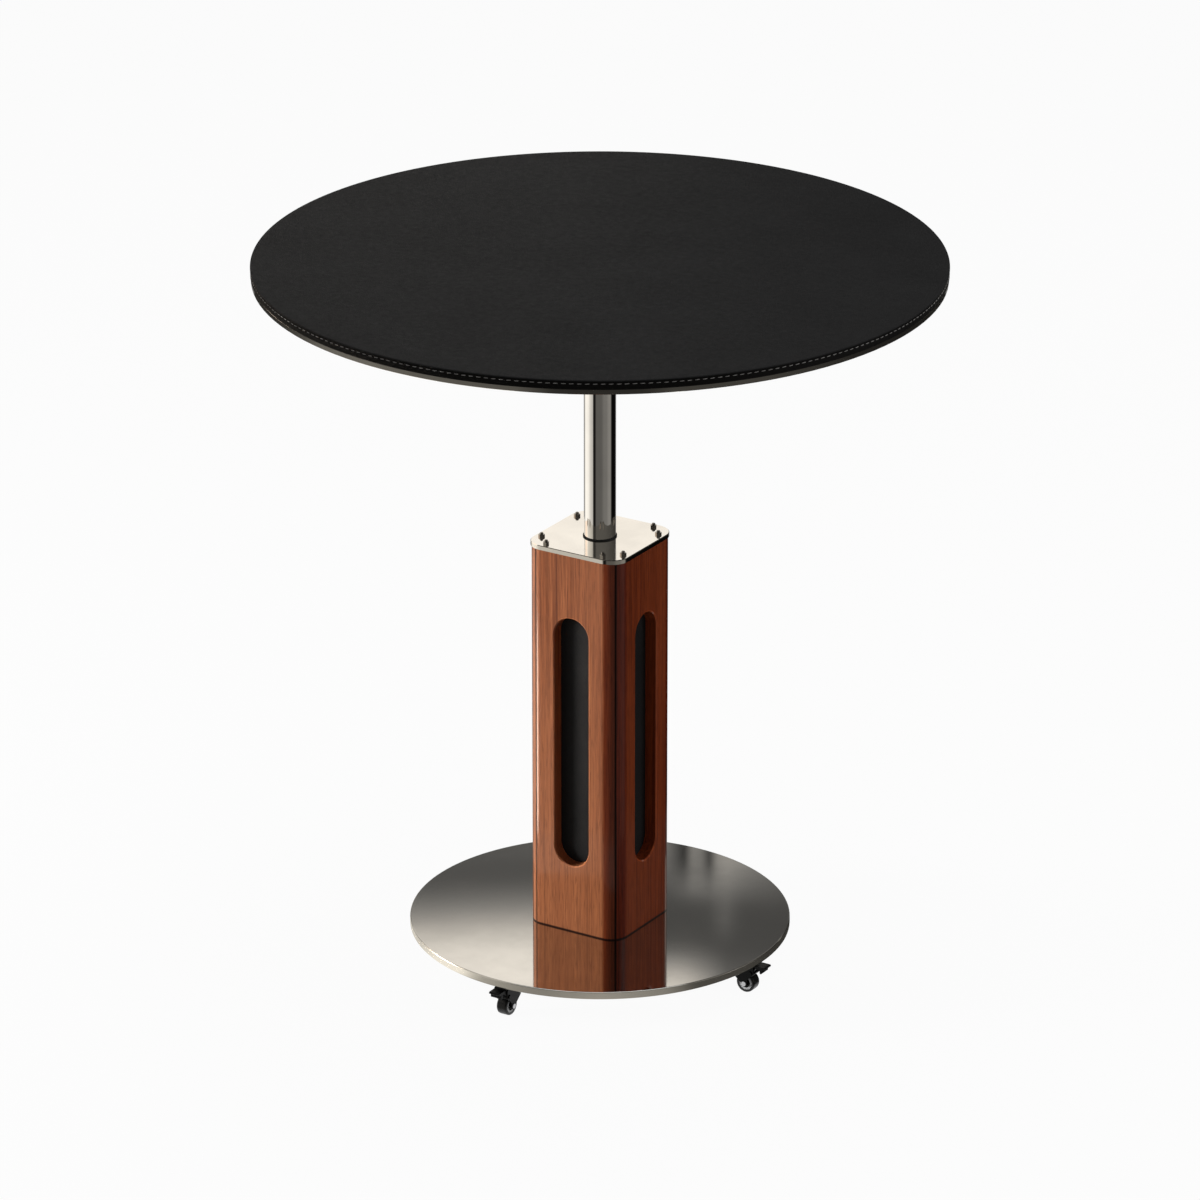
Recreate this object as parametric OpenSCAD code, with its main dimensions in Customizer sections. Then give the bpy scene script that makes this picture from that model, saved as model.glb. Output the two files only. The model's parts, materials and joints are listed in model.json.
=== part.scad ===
// Round side table on a gas-lift pillar: a leather-covered top that goes up and down and turns,
// a square walnut column with slotted windows, a polished base disc and four braked casters.
// Millimetres. Z is up, the floor is at 0 and the pillar's axis is at X = Y = 0.
// The table is drawn raised. The top comes down by the stroke of the lift.
// The front of the column faces -Y.

/* [Tabletop] */
// Diameter of the round top
top_d = 600; // [500:10:800]
// Thickness of the board with its leather
board_h = 8; // [7:0.5:20]
// Thickness of the leather
leather_t = 1.2; // [0.8:0.1:2]
// Rounding of the upper leather edge
edge_round = 0.9; // [0.3:0.1:1]
// Step from the top leather in to the leather of the rim
edge_step = 0.3; // [0.1:0.1:0.6]
// Bevel along the seam between the two leathers
seam_bevel = 0.25; // [0.1:0.05:0.4]
// Height of the steel hoop under the leather rim
hoop_h = 4.5; // [3:0.5:10]
// Thickness of the steel hoop
hoop_t = 2; // [1.5:0.5:4]
// Step from the edge of the top in to the hoop
hoop_inset = 0.7; // [0.2:0.1:3]
// Bevel of the hoop's two outer edges
hoop_bevel = 0.3; // [0.1:0.1:0.6]

/* [Base disc] */
// Diameter of the base disc
disc_d = 337; // [330:1:420]
// Thickness of the base disc
disc_t = 7; // [6.5:0.5:12]
// Rounding of the disc's edges
disc_edge = 0.8; // [0.3:0.1:2]
// Diameter of the countersunk screws that come up through the disc
foot_screw_d = 4; // [3:0.5:5]
// How far those screws reach into the wood
foot_screw_grip = 24; // [12:1:40]

/* [Column] */
// Width of the square column over the wood
column_w = 95; // [93:1:120]
// Height of the wood
column_h = 355.5; // [345:0.5:500]
// Radius of the column's corners
corner_r = 16; // [6:0.5:18]
// Thickness of the wood panels
panel_t = 11.5; // [10:0.5:12]
// Width of the groove along each mitred corner
seam_w = 1.2; // [0.4:0.1:2]
// Width of the windows
window_w = 35; // [24:1:40]
// Height of the windows
window_h = 234; // [80:1:250]
// Height of the windows' lower ends above the disc
window_z = 63; // [40:1:80]
// Bevel round each window
window_bevel = 1; // [0.3:0.1:2]
// Thickness of the covered boards behind the windows
insert_t = 3; // [2:0.5:4]
// How far those boards lie behind the wood round the window
insert_lap = 10; // [4:1:14]

/* [Top plate of the column] */
// Thickness of the plate
plate_t = 4; // [2.5:0.5:8]
// How far the plate stands out past the wood
plate_lip = 1; // [0:0.25:3]
// Bevel of the plate's upper edge
plate_bevel = 0.5; // [0.2:0.1:1]
// Diameter of the studs that hold the plate
stud_d = 3; // [2.5:0.5:4]
// Distance of each stud from the middle of its panel
stud_x = 29; // [20:0.5:31]
// How far the studs reach into the wood
stud_grip = 25; // [12:1:40]
// How far the studs stand out past their nuts
stud_tip = 1.7; // [0.5:0.1:4]
// Width of the nuts across their flats
nut_af = 5; // [4.6:0.2:7]
// Height of the nuts
nut_h = 2.2; // [1.5:0.1:3.5]

/* [Gas lift] */
// Bare height of the pole between the plate and the tabletop, when raised
reveal = 240; // [236:1:320]
// Travel of the tabletop
stroke = 180; // [100:5:190]
// Diameter of the polished pole, which is the gas cylinder
pole_d = 28; // [24:0.5:30]
// Wall of the gas cylinder
pole_wall = 1.5; // [1:0.25:2.5]
// Diameter of the outer tube inside the column
tube_d = 50; // [44:1:52]
// Wall of the outer tube
tube_wall = 2; // [1.5:0.25:3]
// Diameter of the foot flange welded to the outer tube
flange_d = 66; // [64:1:68]
// Thickness of the foot flange
flange_t = 6; // [4:0.5:8]
// Height of the outer tube's floor above the disc
tube_floor_z = 9; // [8:0.5:20]
// Thickness of the outer tube's floor
tube_floor_t = 3; // [2:0.5:5]
// Length of the plastic guide bush
bush_len = 90; // [50:5:110]
// Thickness of the guide bush's flange
bush_flange_t = 2.5; // [1.5:0.5:4]
// Thickness of the rubber wiper's flange
wiper_t = 1.5; // [1:0.5:3]
// Wall of the wiper where it shows round the pole
wiper_wall = 0.8; // [0.6:0.1:2]
// How far the wiper stands above the plate
wiper_proud = 1; // [0.2:0.1:1.5]
// Diameter of the piston rod
rod_d = 10; // [9:0.5:12]
// Diameter of the rod's neck below its shoulder
neck_d = 8; // [7:0.5:8.5]
// Height of the piston
piston_h = 12; // [8:1:20]
// Height of the rod gland at the cylinder's lower end
gland_h = 14; // [8:1:24]
// Height of the rubber bumper
bumper_h = 27; // [15:1:40]
// Diameter of the rubber bumper
bumper_d = 26; // [18:1:30]

/* [Thrust bearing] */
// Diameter of the races
race_d = 32; // [30:1:36]
// Thickness of each race
race_t = 2; // [1.5:0.25:3]
// Diameter of the balls
ball_d = 4; // [3:0.5:5]
// Number of balls
ball_count = 10; // [8:1:10]
// Thickness of the ball cage
cage_t = 2; // [1:0.25:2.5]

/* [Hub and release lever] */
// Side of the steel mounting plate under the top
hub_plate_w = 140; // [110:5:200]
// Thickness of the mounting plate
hub_plate_t = 3; // [2:0.5:5]
// Depth of the hub below the tabletop
hub_drop = 37; // [36:0.5:40]
// Diameter of the hub's socket
hub_d = 42; // [38:1:50]
// Height of the hub's socket
hub_h = 17; // [14:0.5:17]
// Narrowing of the cylinder's cone, on the radius
cone_taper = 0.7; // [0.3:0.1:1.2]
// Thickness of the lever bracket's sheet
bracket_t = 2.5; // [2:0.25:4]
// Inner width of the lever bracket
bracket_w = 30; // [24:1:34]
// Diameter of the valve button
button_d = 6; // [5:0.5:8]
// Height of the valve button above the cylinder
button_proud = 6.5; // [5.5:0.5:7]
// Distance from the pole's axis to the lever's pivot
lever_arm = 36; // [33:1:42]
// Reach of the lever from the pole's axis
lever_reach = 215; // [170:5:240]
// Length of the lever's sloping part
lever_run = 36; // [20:1:50]
// Diameter of the lever's round end
lever_d = 7; // [6:0.5:8]
// Drop from the lever's pivot to its outer end
lever_drop = 13; // [12:0.5:15]
// Diameter of the lever's pivot pin
lever_pin_d = 5; // [4:0.5:6]
// Diameter of the grip
grip_d = 13; // [11:0.5:14]
// Length of the grip
grip_len = 46; // [30:1:70]
// Diameter of the screws that hold the mounting plate
hub_screw_d = 4; // [3:0.5:5]

/* [Casters] */
// Height from the floor to the underside of the disc
caster_h = 31; // [30:0.5:40]
// Distance of each swivel axis in from the disc's edge
caster_inset = 23; // [21:0.5:40]
// Diameter of the wheels
wheel_d = 18; // [16:0.5:18.5]
// Width of the wheels over the tyre
wheel_w = 10; // [8:0.5:12]
// Thickness of the tyre
tyre_t = 1.6; // [1.2:0.1:2.4]
// Distance from the swivel axis out to the axle
trail = 8; // [6:0.5:9]
// Diameter of the axle
axle_d = 3; // [2:0.5:3.5]
// Thickness of the fork's sheet
fork_t = 1.5; // [1:0.1:2]
// Side of the square mounting plates
caster_plate_w = 27; // [25:0.5:30]
// Thickness of the mounting plates
caster_plate_t = 1.6; // [1.2:0.1:2]
// Diameter of the king pins
kingpin_d = 5; // [4:0.5:6]
// Diameter of the small screws in the mounting plates
plate_screw_d = 3; // [2.5:0.25:3.5]
// How far those screws reach into the disc
plate_screw_grip = 5; // [3:0.5:5.5]
// Reach of the brake pedal from the swivel axis
pedal_reach = 28; // [27:0.5:34]
// Width of the brake pedal
pedal_w = 11; // [9:1:15]
// Thickness of the brake pedal's blade
pedal_t = 2.2; // [1.6:0.1:2.6]
// Turn of the brake pedal from free to locked
pedal_turn = 15; // [8:1:16]
// How far the pedal's release tab hangs below the blade
tab_drop = 4; // [3:0.25:5]
// Length of the brake pedal's blade
blade_len = 10.5; // [9:0.5:12]
// Turn of the left caster, which has swivelled in under the disc
left_swivel = -70; // [-90:5:90]

/* [Hidden] */
$fn = 72;

// The sides of the column, as turns about Z
FRONT = 0;
RIGHT = 90;
BACK = 180;
LEFT = 270;
SIDES = [FRONT, RIGHT, BACK, LEFT];

// Colours
WALNUT = "#7a4128";
STEEL = "#c9c6c0";
DULL_STEEL = "#8f9194";
LEATHER = "#2b2b2c";
BLACK = "#1c1c1d";
RUBBER = "#242424";
BOARD = "#b08a5c";

// Clearances: a fixed fit, a running fit, between moving faces, and how far a cut runs past a face
fit = 0.05;
run = 0.08;
gap = 0.3;
over = 1;

// Heights of the stack from the floor up
disc_z = caster_h;
column_z = disc_z + disc_t;
plate_z = column_z + column_h;
deck_z = plate_z + plate_t;
under_z = deck_z + reveal;
board_z = under_z + hoop_h;
top_z = board_z + board_h;

// Column
half_w = column_w / 2;
inner_w = half_w - panel_t;
panel_mid = half_w - panel_t / 2;
corner_mid = half_w - corner_r + corner_r / sqrt(2);
insert_w = window_w + 2 * insert_lap;
insert_h = window_h + 2 * insert_lap;

// Outer tube and what stands on its floor
tube_r = tube_d / 2;
tube_bore = tube_r - tube_wall;
flange_screw_r = (tube_d + flange_d) / 4;
floor_z = column_z + tube_floor_z;
weld_leg = 2;
neck_r = neck_d / 2;
race_r = race_d / 2;
race_z = floor_z + tube_floor_t;
ball_z = race_z + race_t + ball_d / 2 + fit;
ball_ring_r = (race_r + neck_r) / 2 + gap;
upper_race_z = race_z + race_t + ball_d + 2 * fit;
cage_wall = 1;
bumper_z = upper_race_z + race_t;
clip_t = 1.2;
clip_groove = 0.8;
clip_rim = 3;
clip_z = floor_z - gap - clip_t;
rod_tail = 2;

// Guide bush and wiper under the plate
tube_top = plate_z - wiper_t - bush_flange_t;
bush_z = tube_top - bush_len;
wiper_r = pole_d / 2 + run + wiper_wall;

// Pole, which is the gas cylinder, and the piston inside it
pole_r = pole_d / 2;
pole_bore = pole_r - pole_wall;
cylinder_z = bumper_z + bumper_h + gap + stroke;
piston_z = cylinder_z + gland_h + gap;
spigot_r = rod_d / 2 - 1.5;
piston_groove = 1.2;

// Hub, from the tabletop's underside down
hub_plate_z = under_z - hub_plate_t;
hub_z = under_z - hub_drop;
hub_floor_z = hub_z + hub_h;
cone_z = hub_z - over;
cylinder_top = hub_floor_z + 1.5;
cylinder_head = 28;
button_len = 13;
button_top = cylinder_top + button_proud;
button_bevel = 1;
button_room = 4;
bracket_back = 24;
bracket_front = lever_arm + lever_pin_d / 2 + 5;
lever_t = 4;
lever_w = 12;
lever_tail = 8;
lever_z = button_top + gap + lever_t / 2;
lever_boss_r = lever_pin_d / 2 + 2.5;
lever_bend = lever_arm + lever_run;
hub_screw_inset = 12;
hub_screw_x = hub_plate_w / 2 - hub_screw_inset;
hub_screw_grip = hoop_h + 4;

// Tabletop
top_r = top_d / 2;
rim_r = top_r - edge_step;
board_r = rim_r - leather_t;
hoop_r = top_r - hoop_inset;
panel_r = hoop_r - hoop_t - fit;

// Casters. Each is drawn at +X, with the swivel axis at its own X = 0, then turned to its side
caster_r = disc_d / 2 - caster_inset;
wheel_r = wheel_d / 2;
core_r = wheel_r - tyre_t;
hub_boss_r = axle_d / 2 + 1.6;
leg_gap = 0.5;
fork_in = wheel_w / 2 + leg_gap;
fork_out = fork_in + fork_t;
cup_r = 10;
cup_t = 1.9;
cup_z = caster_h - caster_plate_t - gap - cup_t;
fork_z = cup_z - fork_t;
fork_back = 8;
fork_front = trail + 4;
kingpin_head = 1.2;
kingpin_head_r = kingpin_d / 2 + 1.5;
plate_screw_x = caster_plate_w / 2 - 4;
plate_screw_head_r = plate_screw_d / 2 + 1.1;
plate_screw_head = 1.5;
rivet_head = 1;
rivet_lip = 0.7;
brake_hub_r = 3;
brake_gap = 0.55;
brake_angle = 61;
brake_pin_d = 2.4;
brake_dist = wheel_r + brake_gap + brake_hub_r;
brake_x = trail + brake_dist * cos(brake_angle);
brake_z = wheel_r + brake_dist * sin(brake_angle);
shoe_r = 1.2;
shoe_rise = 0.25;
blade_z = caster_h - 4.7;
arm_t = 3;
tab_inset = 4;
axle_wall = 1.5;
leg_throat = 4;

// Shared shapes

// A square with round corners
module rounded_square(w, r) {
    square([w, w - 2 * r], center = true);
    square([w - 2 * r, w], center = true);
    for (x = [-1, 1], y = [-1, 1])
        translate([x, y] * (w / 2 - r)) circle(r);
}

// A square slab with round corners and a bevel c round its upper face
module bevelled_slab(w, r, t, c) {
    linear_extrude(t - c) rounded_square(w, r);
    for (x = [-1, 1], y = [-1, 1])
        translate([x * (w / 2 - r), y * (w / 2 - r), t - c]) cylinder(r1 = r, r2 = r - c, h = c);
    for (turn = [0, 90])
        rotate(turn) translate([r - w / 2, 0, 0]) rotate([90, 0, 90]) linear_extrude(w - 2 * r)
            polygon([[-w / 2, t - c], [w / 2, t - c], [w / 2 - c, t], [c - w / 2, t]]);
}

// A ring between two radii, from z up by h
module ring(inner_r, outer_r, z, h) {
    translate([0, 0, z]) difference() {
        cylinder(r = outer_r, h = h);
        translate([0, 0, -over]) cylinder(r = inner_r, h = h + 2 * over);
    }
}

// A rectangle of the profile of a turned part, between two radii and from z up by h
module band(inner_r, outer_r, z, h) {
    translate([inner_r, z]) square([outer_r - inner_r, h]);
}

// A straight bar with round ends, drawn flat between two points
module bar(a, b, t) {
    along = b - a;
    translate(a) circle(d = t);
    translate(b) circle(d = t);
    translate(a) rotate(atan2(along.y, along.x)) translate([0, -t / 2]) square([norm(along), t]);
}

// Points of a quarter round of radius r about a centre, from one angle to another
function arc(centre, r, from, to, steps = 6) =
    [for (i = [0 : steps]) let (a = from + (to - from) * i / steps)
        centre + r * [cos(a), sin(a)]];

// A countersunk screw with a hexagon socket, its flat head down at z = 0
module countersunk_screw(d, length) {
    head_r = d * 0.95;
    difference() {
        union() {
            cylinder(r1 = head_r, r2 = d / 2, h = head_r - d / 2);
            cylinder(d = d, h = length);
        }
        translate([0, 0, -over]) cylinder(d = d * 0.7, h = d * 0.45 + over, $fn = 6);
    }
}

// The hole for such a screw, open at z = 0
module countersunk_hole(d, length) {
    head_r = d * 0.95;
    translate([0, 0, -over]) cylinder(r = head_r + fit, h = over);
    cylinder(r1 = head_r + fit, r2 = d / 2 + fit, h = head_r - d / 2);
    cylinder(r = d / 2 + fit, h = length);
}

// Repeats a shape at the eight fastening places of the column, two in each panel
module at_panel_screws() {
    for (side = SIDES, x = [-stud_x, stud_x])
        rotate(side) translate([x, -panel_mid, 0]) children();
}

// Repeats a shape at the four screws of the foot flange, which stand on the diagonals
module at_flange_screws() {
    for (side = SIDES) rotate(side + 45) translate([flange_screw_r, 0, 0]) children();
}

// Repeats a shape at the four screws of the mounting plate under the top
module at_hub_screws() {
    for (side = SIDES) rotate(side) translate([hub_screw_x, hub_screw_x, 0]) children();
}

// Puts a caster's piece under one side of the table, turned about its swivel axis
module at_caster(side, swivel = 0) {
    rotate(side - 90) translate([caster_r, 0, 0]) rotate(swivel) children();
}

// Repeats a shape at the four screws of each caster's mounting plate
module at_caster_screws() {
    for (side = SIDES, x = [-1, 1], y = [-1, 1])
        at_caster(side) translate([x * plate_screw_x, y * plate_screw_x, 0]) children();
}

// Base

module base_disc() {
    r = disc_d / 2;
    e = disc_edge;
    color(STEEL) difference() {
        rotate_extrude($fn = 180) polygon(concat(
            [[0, disc_z]],
            arc([r - e, disc_z + e], e, -90, 0, 3),
            arc([r - e, column_z - e], e, 0, 90, 3),
            [[0, column_z]]));
        translate([0, 0, disc_z]) at_panel_screws() countersunk_hole(foot_screw_d, disc_t + over);
        translate([0, 0, disc_z]) at_flange_screws() countersunk_hole(foot_screw_d, disc_t + over);
        translate([0, 0, disc_z - over]) at_caster_screws()
            cylinder(r = plate_screw_d / 2 + fit, h = plate_screw_grip + over);
    }
}

module panel_screws() {
    color(DULL_STEEL) translate([0, 0, disc_z]) at_panel_screws()
        countersunk_screw(foot_screw_d, disc_t + foot_screw_grip);
}

module flange_screws() {
    color(DULL_STEEL) translate([0, 0, disc_z]) at_flange_screws()
        countersunk_screw(foot_screw_d, disc_t + flange_t);
}

// Column

// The window through the front panel, with its bevelled outer edge
module window() {
    ends = [window_w / 2, window_h - window_w / 2];
    straight = window_h - window_w;
    bevel_r = window_w / 2 + window_bevel + over;
    translate([0, 0, column_z + window_z]) {
        for (z = ends) translate([0, 0, z]) rotate([90, 0, 0]) {
            cylinder(d = window_w, h = column_w);
            translate([0, 0, half_w - window_bevel])
                cylinder(r1 = window_w / 2, r2 = bevel_r, h = window_bevel + over);
        }
        translate([-window_w / 2, -column_w, ends[0]]) cube([window_w, column_w, straight]);
        translate([0, 0, ends[0]]) linear_extrude(straight) polygon([
            [-window_w / 2, window_bevel - half_w], [window_w / 2, window_bevel - half_w],
            [bevel_r, -half_w - over], [-bevel_r, -half_w - over]]);
    }
}

// One mitred panel, drawn at the front
module panel() {
    color(WALNUT) difference() {
        translate([0, 0, column_z]) linear_extrude(column_h) intersection() {
            difference() {
                rounded_square(column_w, corner_r);
                square(2 * inner_w, center = true);
            }
            polygon([[0, 0], [-column_w, -column_w], [column_w, -column_w]]);
        }
        for (x = [-corner_mid, corner_mid])
            translate([x, -corner_mid, column_z + column_h / 2])
                cube([seam_w / sqrt(2), seam_w / sqrt(2), column_h + 2 * over], center = true);
        window();
        for (x = [-stud_x, stud_x]) translate([x, -panel_mid, 0]) {
            translate([0, 0, plate_z - stud_grip])
                cylinder(r = stud_d / 2 + fit, h = stud_grip + over);
            translate([0, 0, column_z - over])
                cylinder(r = foot_screw_d / 2 + fit, h = foot_screw_grip + over);
        }
    }
}

module panel_front() { rotate(FRONT) panel(); }
module panel_right() { rotate(RIGHT) panel(); }
module panel_back() { rotate(BACK) panel(); }
module panel_left() { rotate(LEFT) panel(); }

// One covered board, which closes a window from inside
module insert() {
    color(BLACK) translate([-insert_w / 2, -inner_w, column_z + window_z - insert_lap])
        cube([insert_w, insert_t, insert_h]);
}

module insert_front() { rotate(FRONT) insert(); }
module insert_right() { rotate(RIGHT) insert(); }
module insert_back() { rotate(BACK) insert(); }
module insert_left() { rotate(LEFT) insert(); }

module top_plate() {
    color(STEEL) translate([0, 0, plate_z]) difference() {
        bevelled_slab(column_w + 2 * plate_lip, corner_r + plate_lip, plate_t, plate_bevel);
        translate([0, 0, -over]) {
            cylinder(r = wiper_r + fit, h = plate_t + 2 * over);
            at_panel_screws() cylinder(r = stud_d / 2 + fit, h = plate_t + 2 * over);
        }
    }
}

module plate_studs() {
    tip = 0.5;
    length = stud_grip + plate_t + nut_h + stud_tip;
    color(DULL_STEEL) translate([0, 0, plate_z - stud_grip]) at_panel_screws() {
        cylinder(d = stud_d, h = length - tip);
        translate([0, 0, length - tip]) cylinder(r1 = stud_d / 2, r2 = stud_d / 2 - tip, h = tip);
    }
}

module plate_nuts() {
    corner = nut_af / sqrt(3);
    bevel = 0.4;
    color(DULL_STEEL) translate([0, 0, deck_z]) at_panel_screws() difference() {
        intersection() {
            cylinder(r = corner, h = nut_h, $fn = 6);
            cylinder(r1 = corner + nut_h - bevel, r2 = corner - bevel, h = nut_h);
        }
        translate([0, 0, -over]) cylinder(r = stud_d / 2 + fit, h = nut_h + 2 * over);
    }
}

// Gas lift: fixed pieces

// The outer tube with its floor, welded to a foot flange
module lift_tube() {
    color(DULL_STEEL) difference() {
        rotate_extrude() {
            band(tube_bore, tube_r, column_z, tube_top - column_z);
            band(neck_r + gap, tube_r, floor_z, tube_floor_t);
            band(tube_bore, flange_d / 2, column_z, flange_t);
            translate([tube_r, column_z + flange_t]) polygon([[0, 0], [weld_leg, 0], [0, weld_leg]]);
        }
        translate([0, 0, column_z - over]) at_flange_screws()
            cylinder(r = foot_screw_d / 2 + fit, h = flange_t + 2 * over);
    }
}

module lower_race() {
    color(STEEL) ring(neck_r + gap, race_r, race_z, race_t);
}

module guide_bush() {
    color(BLACK) rotate_extrude() {
        band(pole_r + run, tube_bore - fit, bush_z, bush_len);
        band(pole_r + run, tube_r, tube_top, bush_flange_t);
    }
}

module pole_wiper() {
    color(RUBBER) rotate_extrude() {
        band(pole_r + run, tube_r - weld_leg, plate_z - wiper_t, wiper_t);
        band(pole_r + run, wiper_r, plate_z - wiper_t, wiper_t + plate_t + wiper_proud);
    }
}

// Gas lift: the rod, which turns on the thrust bearing

module piston_rod() {
    piston_top = piston_z + piston_h;
    tail_z = clip_z - rod_tail;
    color(STEEL) rotate_extrude() {
        band(0, neck_r, tail_z, clip_z - tail_z);
        band(0, neck_r - clip_groove, clip_z, clip_t);
        band(0, neck_r, clip_z + clip_t, bumper_z - clip_z - clip_t);
        band(0, rod_d / 2, bumper_z, piston_z - bumper_z);
        band(0, spigot_r, piston_z, piston_h);
    }
}

module piston() {
    groove_h = piston_h / 3;
    color(BLACK) rotate_extrude() {
        band(spigot_r + fit, pole_bore - run - piston_groove, piston_z, piston_h);
        band(spigot_r + fit, pole_bore - run, piston_z, groove_h);
        band(spigot_r + fit, pole_bore - run, piston_z + piston_h - groove_h, groove_h);
    }
}

// The balls in their cage
module ball_cage() {
    cage_in = ball_ring_r - ball_d / 2 - cage_wall;
    cage_out = ball_ring_r + ball_d / 2 + cage_wall;
    color(STEEL) for (i = [0 : ball_count - 1])
        rotate(i * 360 / ball_count) translate([ball_ring_r, 0, ball_z]) sphere(d = ball_d, $fn = 32);
    color(BLACK) difference() {
        ring(cage_in, cage_out, ball_z - cage_t / 2, cage_t);
        for (i = [0 : ball_count - 1])
            rotate(i * 360 / ball_count) translate([ball_ring_r, 0, ball_z])
                cylinder(r = ball_d / 2 + run, h = cage_t + over, center = true);
    }
}

module upper_race() {
    color(STEEL) ring(neck_r + fit, race_r, upper_race_z, race_t);
}

module rubber_bumper() {
    waist = 1.5;
    third = bumper_h / 3;
    color(RUBBER) rotate_extrude() {
        band(rod_d / 2 + fit, bumper_d / 2 - waist, bumper_z, bumper_h);
        band(rod_d / 2 + fit, bumper_d / 2, bumper_z, third);
        band(rod_d / 2 + fit, bumper_d / 2, bumper_z + bumper_h - third, third);
    }
}

// A snap clip in the neck's groove, open on one side
module rod_clip() {
    inner_r = neck_r - clip_groove + fit;
    color(DULL_STEEL) difference() {
        ring(inner_r, neck_r + clip_rim, clip_z, clip_t);
        translate([0, -inner_r / 2, clip_z - over])
            cube([neck_r + clip_rim + over, inner_r, clip_t + 2 * over]);
    }
}

// Gas lift: the cylinder, which carries the tabletop

module gas_cylinder() {
    foot_bevel = 0.5;
    button_bore = button_d / 2 + run;
    button_floor = button_top - button_len - gap - button_room;
    cone_r = pole_r - cone_taper;
    color(STEEL) rotate_extrude() polygon([
        [pole_bore, cylinder_z], [pole_r - foot_bevel, cylinder_z],
        [pole_r, cylinder_z + foot_bevel], [pole_r, cone_z], [cone_r, cylinder_top],
        [button_bore, cylinder_top], [button_bore, button_floor], [0, button_floor],
        [0, cylinder_top - cylinder_head], [pole_bore, cylinder_top - cylinder_head]]);
}

module rod_gland() {
    color(BLACK) ring(rod_d / 2 + run, pole_bore - fit, cylinder_z, gland_h);
}

module valve_button() {
    r = button_d / 2;
    color(STEEL) rotate_extrude($fn = 48) polygon([
        [0, button_top - button_len], [r, button_top - button_len],
        [r, button_top - button_bevel], [r - button_bevel, button_top], [0, button_top]]);
}

// Tabletop

module under_panel() {
    color(BLACK) difference() {
        translate([0, 0, under_z]) cylinder(r = panel_r, h = hoop_h, $fn = 180);
        translate([0, 0, under_z - over]) at_hub_screws()
            cylinder(r = hub_screw_d / 2 + fit, h = hoop_h + 2 * over);
    }
}

module rim_hoop() {
    b = hoop_bevel;
    color(STEEL) rotate_extrude($fn = 180) polygon([
        [hoop_r - hoop_t, under_z], [hoop_r - b, under_z], [hoop_r, under_z + b],
        [hoop_r, board_z - b], [hoop_r - b, board_z], [hoop_r - hoop_t, board_z]]);
}

module top_board() {
    color(BOARD) difference() {
        translate([0, 0, board_z]) cylinder(r = board_r - fit, h = board_h - leather_t, $fn = 180);
        translate([0, 0, board_z - over]) at_hub_screws()
            cylinder(r = hub_screw_d / 2 + fit, h = hub_screw_grip - hoop_h + over);
    }
}

module edge_leather() {
    b = seam_bevel;
    seam_z = top_z - leather_t;
    color(LEATHER) rotate_extrude($fn = 180) polygon([
        [board_r, board_z], [rim_r - b, board_z], [rim_r, board_z + b],
        [rim_r, seam_z - b], [rim_r - b, seam_z], [board_r, seam_z]]);
}

module top_leather() {
    b = seam_bevel;
    e = edge_round;
    seam_z = top_z - leather_t;
    color(LEATHER) rotate_extrude($fn = 180) polygon(concat(
        [[0, seam_z], [top_r - b, seam_z]],
        arc([top_r - e, top_z - e], e, 0, 90),
        [[0, top_z]]));
}

// The steel plate under the top, with the welded socket and the bracket of the lever
module hub_mount() {
    plate_r = 14;
    plate_bevel = 0.5;
    side_y = bracket_w / 2;
    bracket_len = bracket_back + bracket_front;
    bracket_h = hub_plate_z - hub_floor_z + 2 * bracket_t;
    color(DULL_STEEL) difference() {
        union() {
            translate([0, 0, under_z]) mirror([0, 0, 1])
                bevelled_slab(hub_plate_w, plate_r, hub_plate_t, plate_bevel);
            translate([0, 0, hub_z]) cylinder(d = hub_d, h = hub_h);
            for (y = [-side_y - bracket_t, side_y])
                translate([-bracket_back, y, hub_plate_z - bracket_h])
                    cube([bracket_len, bracket_t, bracket_h]);
            translate([-bracket_back, -side_y, hub_plate_z - bracket_h])
                cube([bracket_t, bracket_w, bracket_h]);
            translate([-bracket_back, -side_y, hub_floor_z - bracket_t])
                cube([2 * bracket_back, bracket_w, bracket_t]);
        }
        rotate_extrude() polygon([
            [0, cone_z], [pole_r + fit, cone_z], [pole_r - cone_taper + fit, cylinder_top],
            [0, cylinder_top]]);
        translate([lever_arm, 0, lever_z]) rotate([90, 0, 0])
            cylinder(r = lever_pin_d / 2 + fit, h = bracket_w + 4 * bracket_t, center = true);
        translate([0, 0, hub_plate_z - over]) at_hub_screws()
            cylinder(r = hub_screw_d / 2 + fit, h = hub_plate_t + 2 * over);
    }
}

// Pan-head screws up through the mounting plate into the board
module hub_screws() {
    head_h = 2.5;
    color(DULL_STEEL) translate([0, 0, hub_plate_z]) at_hub_screws() difference() {
        union() {
            translate([0, 0, -head_h]) cylinder(r1 = hub_screw_d * 0.7, r2 = hub_screw_d, h = head_h);
            cylinder(d = hub_screw_d, h = hub_plate_t + hub_screw_grip);
        }
        translate([0, 0, -head_h - over])
            cylinder(d = hub_screw_d * 0.7, h = head_h / 2 + over, $fn = 6);
    }
}

// The lever's pivot pin, with a head on each side of the bracket
module lever_pin() {
    head = 1.5;
    reach = bracket_w / 2 + bracket_t;
    color(STEEL) translate([lever_arm, 0, lever_z]) rotate([90, 0, 0]) {
        cylinder(d = lever_pin_d, h = 2 * reach, center = true);
        for (side = [-1, 1])
            translate([0, 0, side * (reach + head / 2)])
                cylinder(d = lever_pin_d + 3, h = head, center = true);
    }
}

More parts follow.
